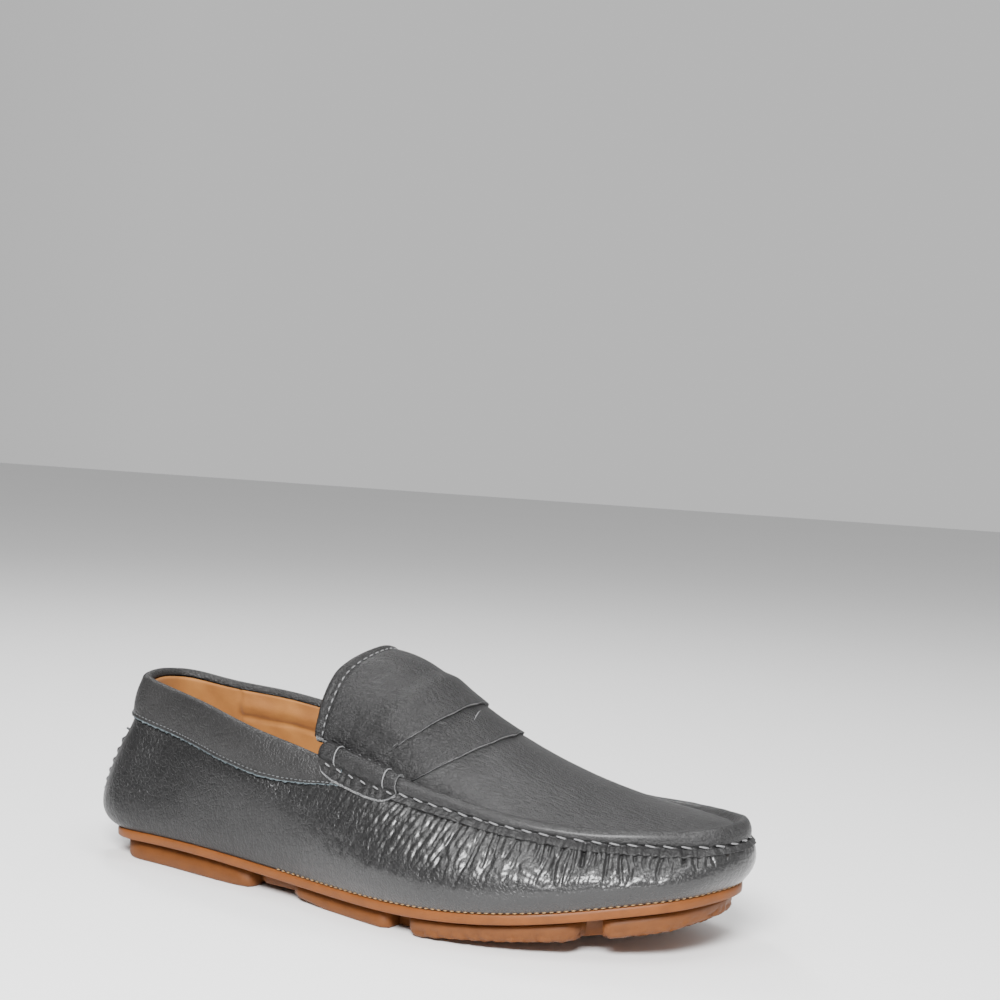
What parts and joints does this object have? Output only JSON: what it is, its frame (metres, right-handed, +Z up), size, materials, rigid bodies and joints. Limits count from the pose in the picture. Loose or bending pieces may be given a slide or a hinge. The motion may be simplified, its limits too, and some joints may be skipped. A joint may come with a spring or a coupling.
{
  "type": "driving moccasin",
  "caption": "Hollow leather driving moccasin for the right foot: flat apron in a raised hand-sewn seam, strap over the instep, padded collar, lugged gum sole.",
  "frame": {"origin": "middle of the shoe's box on the floor, at the lowest plane of the sole's tread", "axes": "+X towards the toe along the length, +Y towards the inner side of the foot, +Z up"},
  "size_m": [0.294, 0.1081, 0.099],
  "materials": {
    "gum_rubber": "moulded gum rubber, matt, crumb texture on the front lugs",
    "lining_leather": "smooth tan lining leather",
    "grain_leather": "dark grey pebbled leather, slight sheen",
    "cuff_leather": "dark grey pebbled leather, raw lower edge",
    "strap_leather": "dark grey pebbled leather, raw front edges"
  },
  "bodies": {
    "root": {"outsole": "gum_rubber", "insole": "lining_leather", "upper": "grain_leather", "collar_cuff": "cuff_leather", "saddle": "strap_leather"}
  },
  "joints": []
}
